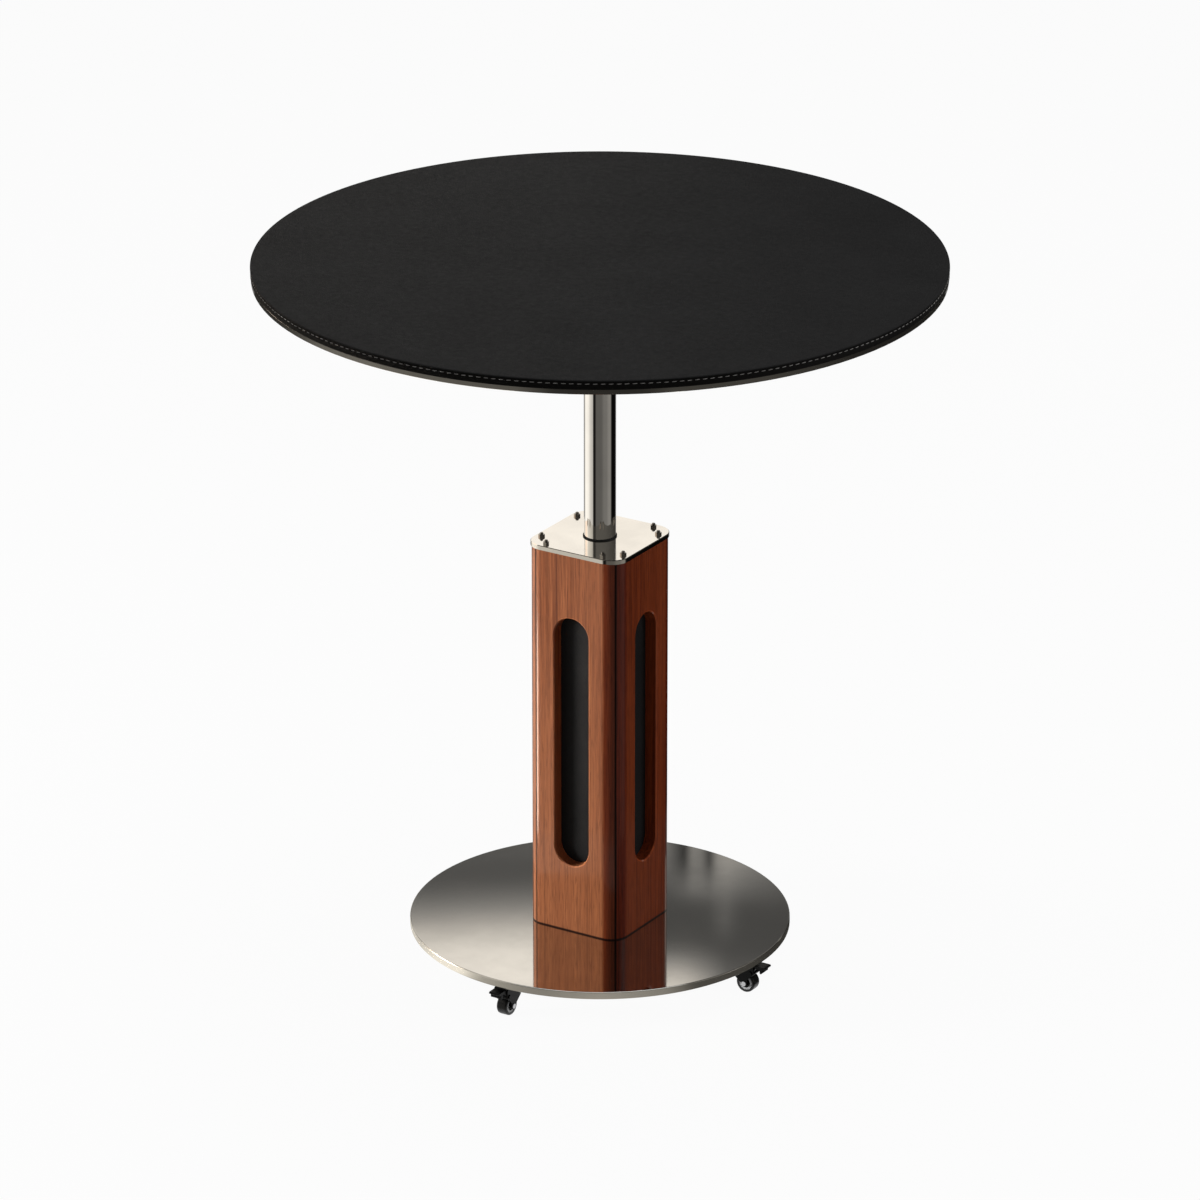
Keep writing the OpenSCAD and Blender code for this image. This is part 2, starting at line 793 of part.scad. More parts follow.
// The lever: a flat tongue over the valve button, a boss on the pivot and a cranked strap,
// which ends in a round stub for the grip
module release_lever() {
    rod_z = lever_z - lever_drop;
    boss_w = bracket_w - 2 * gap;
    strap_w = lever_d + 2;
    strap_t = lever_d - 2;
    strap_end = lever_reach - grip_len - strap_w / 2;
    color(DULL_STEEL) difference() {
        union() {
            translate([-lever_tail, -lever_w / 2, lever_z - lever_t / 2])
                cube([lever_arm + lever_tail, lever_w, lever_t]);
            translate([lever_arm, 0, lever_z]) rotate([90, 0, 0])
                cylinder(r = lever_boss_r, h = boss_w, center = true);
            rotate([90, 0, 0]) linear_extrude(strap_w, center = true) {
                bar([lever_arm, lever_z], [lever_bend, rod_z], strap_t);
                bar([lever_bend, rod_z], [strap_end, rod_z], strap_t);
            }
            translate([strap_end - lever_d, 0, rod_z]) rotate([0, 90, 0])
                cylinder(d = lever_d, h = lever_reach - grip_d / 2 - strap_end + lever_d);
        }
        translate([lever_arm, 0, lever_z]) rotate([90, 0, 0])
            cylinder(r = lever_pin_d / 2 + run, h = boss_w + 2 * over, center = true);
    }
}

// The soft grip on the lever's end, with a round nose and a collar at its root
module lever_grip() {
    r = grip_d / 2;
    rod_r = lever_d / 2 + fit;
    collar = 3;
    neck = 1;
    color(RUBBER) translate([lever_reach, 0, lever_z - lever_drop]) rotate([0, -90, 0])
        rotate_extrude() polygon(concat(
            [[0, 0]],
            arc([0, r], r, -90, 0, 8),
            [[r, grip_len - 3 * collar], [r - neck, grip_len - 2 * collar],
             [r - neck, grip_len - collar], [r, grip_len - collar], [r, grip_len],
             [rod_r, grip_len], [rod_r, r], [0, r]]));
}

// Casters

// The mounting plates, each with its king pin
module caster_plates() {
    corner = 4;
    plate_bottom = caster_h - caster_plate_t;
    pin_bottom = fork_z - gap;
    color(BLACK) for (side = SIDES) at_caster(side) difference() {
        union() {
            translate([0, 0, plate_bottom]) linear_extrude(caster_plate_t)
                rounded_square(caster_plate_w, corner);
            translate([0, 0, pin_bottom]) cylinder(d = kingpin_d, h = plate_bottom - pin_bottom);
            translate([0, 0, pin_bottom - kingpin_head]) cylinder(r = kingpin_head_r, h = kingpin_head);
        }
        for (x = [-plate_screw_x, plate_screw_x], y = [-plate_screw_x, plate_screw_x])
            translate([x, y, plate_bottom - over])
                cylinder(r = plate_screw_d / 2 + fit, h = caster_plate_t + 2 * over);
    }
}

module caster_screws() {
    plate_bottom = caster_h - caster_plate_t;
    color(DULL_STEEL) translate([0, 0, plate_bottom]) at_caster_screws() {
        translate([0, 0, -plate_screw_head]) cylinder(r = plate_screw_head_r, h = plate_screw_head);
        cylinder(d = plate_screw_d, h = caster_plate_t + plate_screw_grip);
    }
}

// Outline of one fork leg, seen from the side: X outward, Y up
module fork_leg() {
    tip_r = axle_d / 2 + axle_wall;
    ear = brake_x + brake_hub_r;
    difference() {
        union() {
            polygon([
                [-fork_back, cup_z], [ear, cup_z], [ear, brake_z],
                [trail + tip_r, wheel_r + leg_throat], [trail + tip_r, wheel_r],
                [trail - tip_r, wheel_r], [-fork_back / 2, wheel_d - tyre_t]]);
            translate([trail, wheel_r]) circle(tip_r, $fn = 48);
            translate([brake_x, brake_z]) circle(brake_hub_r, $fn = 48);
        }
        translate([trail, wheel_r]) circle(axle_d / 2 + fit, $fn = 48);
        translate([brake_x, brake_z]) circle(brake_pin_d / 2 + fit, $fn = 48);
    }
}

// The swivelling fork: a round cup under the plate, a bridge and two legs
module caster_fork() {
    color(BLACK) difference() {
        union() {
            translate([0, 0, cup_z]) cylinder(r = cup_r, h = cup_t);
            translate([-fork_back, -fork_out, fork_z])
                cube([fork_back + fork_front, 2 * fork_out, fork_t]);
            for (y = [-fork_in, fork_out])
                translate([0, y, 0]) rotate([90, 0, 0]) linear_extrude(fork_t) fork_leg();
        }
        translate([0, 0, fork_z - over]) cylinder(r = kingpin_d / 2 + run, h = fork_t + cup_t + 2 * over);
    }
}

// A rivet along Y through both legs
module cross_rivet(d) {
    rotate([90, 0, 0]) {
        cylinder(d = d, h = 2 * fork_out, center = true, $fn = 48);
        for (side = [-1, 1])
            translate([0, 0, side * (fork_out + rivet_head / 2)])
                cylinder(r = d / 2 + rivet_lip, h = rivet_head, center = true, $fn = 48);
    }
}

// The axle and the pivot of the brake
module caster_pins() {
    color(STEEL) {
        translate([trail, 0, wheel_r]) cross_rivet(axle_d);
        translate([brake_x, 0, brake_z]) cross_rivet(brake_pin_d);
    }
}

// The wheel's core: a dished disc with a raised ring and a boss on each face
module caster_wheel() {
    rim = 2.8;
    dish = 0.8;
    half = wheel_w / 2 - 0.5;
    color(DULL_STEEL) translate([trail, 0, wheel_r]) rotate([90, 0, 0]) rotate_extrude($fn = 64) {
        bore = axle_d / 2 + run;
        translate([bore, -half + dish]) square([core_r - bore, 2 * (half - dish)]);
        translate([bore, -half]) square([hub_boss_r - bore, 2 * half]);
        translate([core_r - rim, -half]) square([rim, 2 * half]);
    }
}

// The crowned tyre on the core
module caster_tyre() {
    crown = 1;
    half = wheel_w / 2;
    bed = core_r + fit;
    color(RUBBER) translate([trail, 0, wheel_r]) rotate([90, 0, 0]) rotate_extrude($fn = 64)
        polygon(concat(
            [[bed, -half]],
            arc([wheel_r - crown, crown - half], crown, -90, 0, 4),
            arc([wheel_r - crown, half - crown], crown, 0, 90, 4),
            [[bed, half]]));
}

// The brake pedal: a cammed hub between the legs, a flat blade and a release tab
module caster_pedal() {
    arm_w = 2 * (fork_in - gap);
    arm_end = [pedal_reach - blade_len, blade_z];
    blade_end = [pedal_reach - pedal_t / 2, blade_z];
    tab_top = [pedal_reach - tab_inset, blade_z];
    tab_end = tab_top - [0, tab_drop];
    pivot = [brake_x, brake_z];
    color(BLACK) difference() {
        union() {
            rotate([90, 0, 0]) linear_extrude(arm_w, center = true) {
                translate(pivot) circle(brake_hub_r, $fn = 48);
                bar(pivot, arm_end, arm_t);
                translate(pivot) rotate(brake_angle + 180 + pedal_turn)
                    translate([brake_hub_r + shoe_rise - shoe_r, 0]) circle(shoe_r, $fn = 48);
            }
            rotate([90, 0, 0]) linear_extrude(pedal_w, center = true) {
                bar(arm_end, blade_end, pedal_t);
                bar(tab_top, tab_end, pedal_t);
            }
        }
        translate([brake_x, 0, brake_z]) rotate([90, 0, 0])
            cylinder(r = brake_pin_d / 2 + run, h = arm_w + 2 * over, center = true, $fn = 48);
    }
}

module front_fork() { at_caster(FRONT) caster_fork(); }
module front_pins() { at_caster(FRONT) caster_pins(); }
module front_wheel() { at_caster(FRONT) caster_wheel(); }
module front_tyre() { at_caster(FRONT) caster_tyre(); }
module front_pedal() { at_caster(FRONT) caster_pedal(); }
module right_fork() { at_caster(RIGHT) caster_fork(); }
module right_pins() { at_caster(RIGHT) caster_pins(); }
module right_wheel() { at_caster(RIGHT) caster_wheel(); }
module right_tyre() { at_caster(RIGHT) caster_tyre(); }
module right_pedal() { at_caster(RIGHT) caster_pedal(); }
module back_fork() { at_caster(BACK) caster_fork(); }
module back_pins() { at_caster(BACK) caster_pins(); }
module back_wheel() { at_caster(BACK) caster_wheel(); }
module back_tyre() { at_caster(BACK) caster_tyre(); }
module back_pedal() { at_caster(BACK) caster_pedal(); }
module left_fork() { at_caster(LEFT, left_swivel) caster_fork(); }
module left_pins() { at_caster(LEFT, left_swivel) caster_pins(); }
module left_wheel() { at_caster(LEFT, left_swivel) caster_wheel(); }
module left_tyre() { at_caster(LEFT, left_swivel) caster_tyre(); }
module left_pedal() { at_caster(LEFT, left_swivel) caster_pedal(); }

base_disc();
panel_front();
panel_right();
panel_back();
panel_left();
insert_front();
insert_right();
insert_back();
insert_left();
top_plate();
plate_studs();
plate_nuts();
panel_screws();
lift_tube();
flange_screws();
lower_race();
guide_bush();
pole_wiper();
caster_plates();
caster_screws();
piston_rod();
piston();
ball_cage();
upper_race();
rubber_bumper();
rod_clip();
gas_cylinder();
rod_gland();
top_board();
top_leather();
edge_leather();
rim_hoop();
under_panel();
hub_mount();
hub_screws();
lever_pin();
release_lever();
lever_grip();
valve_button();
front_fork();
front_pins();
front_wheel();
front_tyre();
front_pedal();
right_fork();
right_pins();
right_wheel();
right_tyre();
right_pedal();
back_fork();
back_pins();
back_wheel();
back_tyre();
back_pedal();
left_fork();
left_pins();
left_wheel();
left_tyre();
left_pedal();
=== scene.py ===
import json
import math

import bmesh
import bpy
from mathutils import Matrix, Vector


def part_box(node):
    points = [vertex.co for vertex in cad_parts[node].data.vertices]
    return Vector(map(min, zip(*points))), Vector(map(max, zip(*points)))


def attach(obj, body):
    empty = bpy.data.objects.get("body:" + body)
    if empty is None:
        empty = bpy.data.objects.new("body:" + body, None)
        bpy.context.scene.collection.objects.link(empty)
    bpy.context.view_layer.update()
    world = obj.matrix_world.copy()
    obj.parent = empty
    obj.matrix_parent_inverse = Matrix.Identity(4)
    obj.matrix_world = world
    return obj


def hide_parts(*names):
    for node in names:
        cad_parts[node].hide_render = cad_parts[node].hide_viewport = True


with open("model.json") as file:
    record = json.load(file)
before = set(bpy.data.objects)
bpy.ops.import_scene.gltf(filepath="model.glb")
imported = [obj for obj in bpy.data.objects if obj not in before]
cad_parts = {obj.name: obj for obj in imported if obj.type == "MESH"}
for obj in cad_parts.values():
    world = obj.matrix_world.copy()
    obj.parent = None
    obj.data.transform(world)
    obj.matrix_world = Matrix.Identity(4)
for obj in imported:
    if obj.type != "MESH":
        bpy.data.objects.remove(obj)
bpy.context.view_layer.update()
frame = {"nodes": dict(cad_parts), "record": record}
scene = bpy.context.scene
nodes = frame["nodes"]
slot_of = {row["node"]: row["material_slot"] for row in frame["record"]["subparts"]}

# Each caster's side, with the centre and the direction of its axle
casters = [(joint["name"].removesuffix("_roll"), Vector(joint["pos_m"]), Vector(joint["axis"]))
           for joint in frame["record"]["behaviour"]["joints"] if joint["name"].endswith("_roll")]

# Heights from the frame, in metres like every length here
top_low, top_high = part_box("top_leather")
window_low, window_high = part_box("insert_front")
TOP_Z = top_high.z
SEAM_Z = top_low.z
WRAP_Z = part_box("edge_leather")[0].z
DISC_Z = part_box("base_disc")[1].z
SLOT_Z = (window_low.z + window_high.z) / 2

# Radii of the hide on the top, of the band round its rim and of the board inside that band
TOP_R = 0.2999
RIM_R = 0.2997
BOARD_R = 0.2985

# The windows: round ends of this radius about points this far above and below SLOT_Z
SLOT_R = 0.0175
SLOT_HALF = 0.0995

# A caster's pins are black above this height, and its wheel is black within this radius
BRAKE_Z = 0.015
WEB_R = 0.0047


# ---- Node helpers

def put(tree, socket, value):
    """Sets a socket to a value, or links another node's output to it."""
    if isinstance(value, bpy.types.NodeSocket):
        tree.links.new(value, socket)
    else:
        socket.default_value = value


def add(tree, kind, *values, **inputs):
    """A new shader node, with its inputs given in their order or by name."""
    made = tree.nodes.new("ShaderNode" + kind)
    for key, value in [*enumerate(values), *inputs.items()]:
        put(tree, made.inputs[key], value)
    return made


def mixed(tree, factor, a, b, how="MIX"):
    """The colour a where factor is 0, and a mixed with b in this way where it is 1."""
    made = tree.nodes.new("ShaderNodeMix")
    made.data_type = "RGBA"
    made.blend_type = how
    for place, value in ((0, factor), (6, a), (7, b)):
        put(tree, made.inputs[place], (*value, 1) if isinstance(value, tuple) else value)
    return made.outputs[2]


def shade(color, factor):
    """The colour made darker or lighter."""
    return tuple(c * factor for c in color)


class Shader:
    """A Principled material, with short calls for the nodes that feed it."""

    def __init__(self, name, color, roughness, metallic=0.0, **sockets):
        self.mat = bpy.data.materials.new(name)
        self.mat.use_nodes = True
        self.tree = self.mat.node_tree
        self.feed(Base_Color=(*color, 1), Roughness=roughness, Metallic=metallic, **sockets)
        self.coords = self.node("TexCoord").outputs["Object"]

    def feed(self, **sockets):
        """Sets or links the material's own sockets, with _ for a space in their names."""
        inputs = self.tree.nodes["Principled BSDF"].inputs
        for socket, value in sockets.items():
            put(self.tree, inputs[socket.replace("_", " ")], value)

    def node(self, kind, *values, **inputs):
        return add(self.tree, kind, *values, **inputs)

    def stretch(self, scale, offset=(0, 0, 0)):
        """The point on the object, scaled along each axis and shifted."""
        made = self.node("Mapping", Vector=self.coords, Scale=scale, Location=offset)
        return made.outputs["Vector"]

    def noise(self, where, scale, detail=4.0, rough=0.55, distortion=0.0):
        """Soft noise, mostly between 0.3 and 0.7."""
        made = self.node("TexNoise", Vector=where, Scale=scale, Detail=detail,
                         Roughness=rough, Distortion=distortion)
        return made.outputs["Fac"]

    def cells(self, where, scale):
        """The distance from the edges between pebbles."""
        made = self.node("TexVoronoi", Vector=where, Scale=scale)
        made.feature = "DISTANCE_TO_EDGE"
        return made.outputs["Distance"]

    def axes(self):
        return self.node("SeparateXYZ", Vector=self.coords).outputs[:3]

    def span(self, value, low, high, to_low=0.0, to_high=1.0):
        """Takes the range from low to high to the range from to_low to to_high."""
        return self.node("MapRange", value, low, high, to_low, to_high).outputs[0]

    def math(self, how, a, b=0.0):
        made = self.node("Math", a, b)
        made.operation = how
        return made.outputs[0]

    def absolute(self, a):
        return self.math("ABSOLUTE", a)

    def plus(self, a, b):
        return self.math("ADD", a, b)

    def minus(self, a, b):
        return self.math("SUBTRACT", a, b)

    def times(self, a, b):
        return self.math("MULTIPLY", a, b)

    def larger(self, a, b):
        return self.math("MAXIMUM", a, b)

    def mix(self, factor, a, b):
        return mixed(self.tree, factor, a, b)

    def tint(self, factor, color, by):
        """The colour multiplied by another, as far as factor says."""
        return self.mix(factor, color, mixed(self.tree, 1.0, color, by, "MULTIPLY"))

    def bump(self, height, strength, distance):
        made = self.node("Bump", Height=height, Strength=strength, Distance=distance)
        self.feed(Normal=made.outputs["Normal"])


# ---- Materials

# Walnut's own colours: its bands, and what is drawn over them
BAND_DARK = (0.225, 0.059, 0.017)
BAND_PALE = (0.355, 0.116, 0.040)
STREAK = (0.145, 0.036, 0.011)
GRAIN_LINE = (0.095, 0.022, 0.007)
PALE_DRIFT = (0.40, 0.145, 0.062)
PORE = (0.075, 0.019, 0.007)
# The last is the dark of the seams, and also of the painted shadow at the column's foot
SEAM_AND_SHADOW = (0.012, 0.004, 0.003)

# What multiplies them: painted shade on the right panel and on the two corners there, and a painted
# highlight on the edges round the windows
RIGHT_SHADE = (0.90, 0.42, 0.18)
CORNER_SHADE = (0.46, 0.23, 0.175)
EDGE_HIGHLIGHT = (1.9, 2.0, 2.1)

# Where they lie. Each SPAN is the pair of distances between which a mark fades out: from the mitre
# for its dark line and for the corner's painted shade, and from the middle of the line for the
# joint and the windows' painted highlight. The joint runs at JOINT_X, in front of JOINT_Y. The
# highlighted edges lie EDGE_OUT outside the windows and show on the outer faces alone, which start
# at FACE_SPAN from the axis. The painted shadow line at the column's foot, where it stands on the
# disc, is
# FOOT_LINE high and fades over as much again
MITRE_SPAN = (0.0007, 0.0019)
CORNER_SPAN = (0.0130, 0.0165)
JOINT_SPAN = (0.0004, 0.0011)
JOINT_X = -0.0367
JOINT_Y = -0.044
EDGE_SPAN = (0.0005, 0.0008)
EDGE_OUT = 0.0006
FACE_SPAN = (0.0463, 0.0467)
FOOT_LINE = 0.0008

# How strongly each shows
RIGHT_SHARE = 0.85
CORNER_SHARE = 0.9
EDGE_HIGHLIGHT_SHARE = 0.7
MITRE_SHARE = 0.92
JOINT_SHARE = 0.9
FOOT_SHADOW_SHARE = 0.95


def walnut():
    """Straight-grained reddish walnut under a satin lacquer. The grain runs along Z."""
    s = Shader("walnut", (0.30, 0.098, 0.04), 0.36, Specular_IOR_Level=0.12, Coat_Weight=0.5,
               Coat_Roughness=0.12)
    bands = s.noise(s.stretch((1, 1, 0.025)), 90, 3, 0.55, 0.25)
    streaks = s.noise(s.stretch((1, 1, 0.028), (3, 1, 2)), 560, 4, 0.65, 0.1)
    lines = s.noise(s.stretch((1, 1, 0.009), (6, 2, 4)), 380, 3, 0.5, 0.05)
    pores = s.noise(s.stretch((1, 1, 0.05), (7, 4, 1)), 1300, 2, 0.5)
    drift = s.noise(s.stretch((1, 1, 0.25), (1, 9, 5)), 11, 2)
    wood = s.mix(s.span(bands, 0.3, 0.7), BAND_DARK, BAND_PALE)
    wood = s.mix(s.span(streaks, 0.36, 0.60), STREAK, wood)
    wood = s.mix(s.span(lines, 0.42, 0.34, 0.0, 0.85), wood, GRAIN_LINE)
    wood = s.mix(s.span(drift, 0.35, 0.65, 0.0, 0.45), wood, PALE_DRIFT)
    wood = s.mix(s.span(pores, 0.54, 0.70, 0.0, 0.5), wood, PORE)

    # Painted shade on the right panel and on the corners at its two sides
    x, y, z = s.axes()
    x_size, y_size = s.absolute(x), s.absolute(y)
    on_right = s.math("GREATER_THAN", x, y_size)
    wood = s.tint(s.times(on_right, RIGHT_SHARE), wood, RIGHT_SHADE)
    mitre = s.absolute(s.minus(x_size, y_size))
    corner = s.span(mitre, *CORNER_SPAN, CORNER_SHARE, 0.0)
    wood = s.tint(s.times(corner, s.math("GREATER_THAN", x, 0.0)), wood, CORNER_SHADE)

    # A painted highlight on the windows' edges, on the outer faces alone
    across = s.math("MINIMUM", x_size, y_size)
    beyond = s.larger(s.minus(s.absolute(s.minus(z, SLOT_Z)), SLOT_HALF), 0.0)
    reach = s.math("SQRT", s.plus(s.times(across, across), s.times(beyond, beyond)))
    off_edge = s.absolute(s.minus(reach, SLOT_R + EDGE_OUT))
    edge = s.span(off_edge, *EDGE_SPAN, EDGE_HIGHLIGHT_SHARE, 0.0)
    outer = s.span(s.larger(x_size, y_size), *FACE_SPAN)
    wood = s.tint(s.times(edge, outer), wood, EDGE_HIGHLIGHT)

    # Dark lines: the mitres, the joint by the left edge of the front, and painted shadow at the
    # column's foot, where it stands on the disc
    dark = s.span(mitre, *MITRE_SPAN, MITRE_SHARE, 0.0)
    joint = s.span(s.absolute(s.minus(x, JOINT_X)), *JOINT_SPAN, JOINT_SHARE, 0.0)
    dark = s.larger(dark, s.times(joint, s.math("LESS_THAN", y, JOINT_Y)))
    foot = s.span(z, DISC_Z + FOOT_LINE, DISC_Z + 2 * FOOT_LINE, FOOT_SHADOW_SHARE, 0.0)
    dark = s.larger(dark, foot)
    s.feed(Base_Color=s.mix(dark, wood, SEAM_AND_SHADOW), Coat_Weight=s.span(dark, 0.0, 0.9, 0.5, 0.1),
           Roughness=s.span(streaks, 0.3, 0.7, 0.44, 0.32))
    s.bump(s.plus(streaks, s.times(pores, 0.5)), 0.14, 0.0004)
    return s.mat


def leather(name, color, grain, roughness, gloss):
    """Matt leather with a fine pebbled grain and a faint mottle."""
    s = Shader(name, color, roughness, Specular_IOR_Level=gloss)
    pebbles = s.cells(s.stretch((1, 1, 1)), 720)
    creases = s.noise(s.stretch((1, 1, 1), (2, 5, 1)), 160, 4, 0.6, 0.4)
    mottle = s.noise(s.stretch((1, 1, 1), (4, 0, 3)), 16, 3)
    tone = s.mix(s.span(mottle, 0.3, 0.7), shade(color, 0.86), shade(color, 1.12))
    # The creases between the pebbles are darkened towards half the colour: painted shade
    tone = s.mix(s.span(pebbles, 0.0, 0.12, 0.35, 0.0), tone, shade(color, 0.5))
    s.feed(Base_Color=tone,
           Roughness=s.span(creases, 0.3, 0.7, roughness + 0.06, roughness - 0.05))
    s.bump(s.plus(s.span(pebbles, 0.0, 0.35), s.times(creases, 0.6)), grain, 0.0003)
    return s.mat


def metal(name, color, roughness, wear, edge=None):
    """Bare metal with faint smears and scratches. edge is the roughness of its upright faces,
    where that differs."""
    s = Shader(name, color, roughness, 1.0)
    smear = s.noise(s.stretch((1, 1, 1), (3, 2, 7)), 28, 3, 0.6)
    scratch = s.noise(s.stretch((1, 1, 1), (1, 6, 2)), 900, 2, 0.5)
    both = s.plus(s.times(smear, 0.6), s.times(scratch, 0.4))
    rough = s.span(both, 0.3, 0.7, max(roughness - wear, 0.01), roughness + wear)
    if edge:
        facing = s.node("NewGeometry").outputs["True Normal"]
        upward = s.absolute(s.node("SeparateXYZ", Vector=facing).outputs[2])
        rough = s.larger(rough, s.span(upward, 0.2, 0.6, edge, 0.0))
    s.feed(Base_Color=s.mix(s.span(smear, 0.35, 0.65), color, shade(color, 0.93)),
           Roughness=rough)
    return s.mat


def plastic(name, color, roughness, grain, scale=1400, gloss=0.5):
    """Moulded plastic, rubber or powder coat: an even colour with a fine texture."""
    s = Shader(name, color, roughness, Specular_IOR_Level=gloss)
    fine = s.noise(s.stretch((1, 1, 1)), scale, 3, 0.6)
    cloud = s.noise(s.stretch((1, 1, 1), (5, 3, 1)), 60, 2)
    s.feed(Base_Color=s.mix(s.span(cloud, 0.3, 0.7), shade(color, 0.88), shade(color, 1.1)),
           Roughness=s.span(cloud, 0.3, 0.7, roughness - 0.05, roughness + 0.05))
    s.bump(fine, grain, 0.0002)
    return s.mat


def plywood():
    s = Shader("raw_board", (0.45, 0.30, 0.16), 0.7)
    fibres = s.noise(s.stretch((0.12, 1, 1)), 420, 4)
    s.feed(Base_Color=s.mix(s.span(fibres, 0.3, 0.7), (0.34, 0.21, 0.11), (0.52, 0.36, 0.20)))
    s.bump(fibres, 0.3, 0.0003)
    return s.mat


# By material slot. After the colour come the roughness, and then the wear of a metal, the grain and
# gloss of a leather, or the grain, its scale and the gloss of a plastic
looks = {
    "polished_steel": metal("polished_steel", (0.78, 0.755, 0.70), 0.085, 0.03),
    "mirror_steel": metal("mirror_steel", (0.86, 0.85, 0.84), 0.035, 0.004),
    "zinc_steel": metal("zinc_steel", (0.52, 0.52, 0.53), 0.30, 0.08),
    "bearing_steel": metal("bearing_steel", (0.62, 0.62, 0.63), 0.16, 0.04),
    "walnut": walnut(),
    "insert_leather": leather("insert_leather", (0.0165, 0.0165, 0.0168), 0.4, 0.5, 0.09),
    "top_leather": leather("top_leather", (0.018, 0.018, 0.0184), 0.3, 0.62, 0.06),
    "board": plywood(),
    "black_panel": plastic("black_panel", (0.02, 0.02, 0.021), 0.5, 0.15, 700),
    "black_metal": plastic("black_metal", (0.003, 0.003, 0.0032), 0.32, 0.1, 1400, 0.09),
    "black_plastic": plastic("black_plastic", (0.004, 0.004, 0.0042), 0.38, 0.2, 1400, 0.11),
    "grey_core": plastic("grey_core", (0.72, 0.73, 0.74), 0.3, 0.1),
    "rubber": plastic("rubber", (0.017, 0.017, 0.017), 0.68, 0.35),
    "tyre": plastic("tyre", (0.004, 0.004, 0.004), 0.26, 0.08, 900, 0.32),
}
disc_steel = metal("disc_steel", (0.66, 0.64, 0.595), 0.055, 0.02, edge=0.22)
dark_nut = metal("dark_nut", (0.33, 0.315, 0.29), 0.17, 0.05)
rim_leather = leather("rim_leather", (0.0085, 0.008, 0.0075), 0.3, 0.62, 0.05)
stitch_thread = plastic("stitch_thread", (0.27, 0.26, 0.25), 0.7, 0.5, 3000)

# The nodes that differ from the rest of their slot
own_looks = {"plate_nuts": dark_nut, "plate_studs": dark_nut, "base_disc": disc_steel}

for name, node in nodes.items():
    node.data.materials.clear()
    node.data.materials.append(own_looks.get(name, looks[slot_of[name]]))
    if name.endswith("_pins"):
        node.data.materials.append(looks["black_metal"])
        for face in node.data.polygons:
            face.material_index = 1 if face.center.z > BRAKE_Z else 0

# The wheels are black inside their pale rings
for side, centre, axle in casters:
    core = nodes[side + "_wheel"]
    core.data.materials.append(looks["black_plastic"])
    for face in core.data.polygons:
        out = face.center - centre
        out -= axle * out.dot(axle)
        face.material_index = 1 if out.length < WEB_R else 0


# ---- Making pieces

def place(name, mesh, look):
    """Puts a mesh into the scene with a material."""
    mesh.materials.append(look)
    piece = bpy.data.objects.new(name, mesh)
    scene.collection.objects.link(piece)
    return piece


def smooth(mesh, angle):
    """Shades a mesh smooth, apart from its edges sharper than an angle in degrees."""
    for face in mesh.polygons:
        face.use_smooth = True
    mesh.set_sharp_from_angle(angle=math.radians(angle))


def build(name, verts, faces, look, sharp=40):
    """A smooth piece of these points and faces, with its faces turned outwards."""
    mesh = bpy.data.meshes.new(name)
    mesh.from_pydata(verts, [], faces)
    mesh.validate()
    bm = bmesh.new()
    bm.from_mesh(mesh)
    bmesh.ops.recalc_face_normals(bm, faces=bm.faces)
    bm.to_mesh(mesh)
    bm.free()
    smooth(mesh, sharp)
    return place(name, mesh, look)


def lathe(name, profile, look, steps=360, wave=None):
    """Turns a closed profile of (radius, z) points round Z. A radius of 0 closes it with a fan.
    wave(angle, r, z) may return a radius to use instead."""
    verts, faces, rings = [], [], []
    for r, z in profile:
        if r == 0:
            rings.append([len(verts)])
            verts.append((0, 0, z))
            continue
        rings.append(list(range(len(verts), len(verts) + steps)))
        for i in range(steps):
            a = 2 * math.pi * i / steps
            radius = wave(a, r, z) if wave else r
            verts.append((radius * math.cos(a), radius * math.sin(a), z))
    for low, high in zip(rings, rings[1:] + rings[:1]):
        if len(low) == 1 and len(high) == 1:
            continue
        for i in range(steps):
            j = (i + 1) % steps
            if len(low) == 1:
                faces.append((low[0], high[j], high[i]))
            elif len(high) == 1:
                faces.append((low[i], low[j], high[0]))
            else:
                faces.append((low[i], low[j], high[j], high[i]))
    return build(name, verts, faces, look)


def bell(at, middle, width):
    """1 at the middle, falling to 0 on both sides."""
    return math.exp(-((at - middle) / width) ** 2)


# ---- The top: the hide, the band round its rim and the stitches

# The hide's section: the radii of its rings below, the soft lower edge, the rounded upper edge and
# the radii of its rings above
LOWER_RINGS = (0, 0.2, TOP_R - 0.0006)
LOWER_EDGE = (TOP_R - 0.0002, SEAM_Z + 0.00015)
EDGE_R = 0.0009
EDGE_STEPS = 6
UPPER_RINGS = (TOP_R - 0.004, 0.28, 0.2, 0.1, 0)
edge_turns = [math.radians(90 * i / EDGE_STEPS) for i in range(EDGE_STEPS + 1)]
hide = lathe("top_hide", [
    *[(r, SEAM_Z) for r in LOWER_RINGS], LOWER_EDGE,
    *[(TOP_R - EDGE_R + EDGE_R * math.cos(a), TOP_Z - EDGE_R + EDGE_R * math.sin(a))
      for a in edge_turns],
    *[(r, TOP_Z) for r in UPPER_RINGS]],
    looks["top_leather"])
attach(hide, "tabletop")
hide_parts("top_leather")

# The band dips along the stitches and puckers a little between them: the depth and the half width
# of the dip, and the part of it that comes and goes with each stitch. Then the cut of the band's
# edges, how deep its outer skin goes, and the rows of points over its height
STITCHES = 288
STITCH_Z = TOP_Z - 0.0031
DIP = 0.00016
DIP_WIDTH = 0.0007
PUCKER = 0.35
WRAP_SOFT = 0.0003
WRAP_SKIN = 0.0007
WRAP_ROWS = 16


def pucker(angle, r, z):
    """The radius of the band's outer skin there. What lies further in stays as it is."""
    if r < RIM_R - WRAP_SKIN:
        return r
    near = bell(z, STITCH_Z, DIP_WIDTH)
    return r - near * DIP * (1 + PUCKER * math.cos(angle * STITCHES))


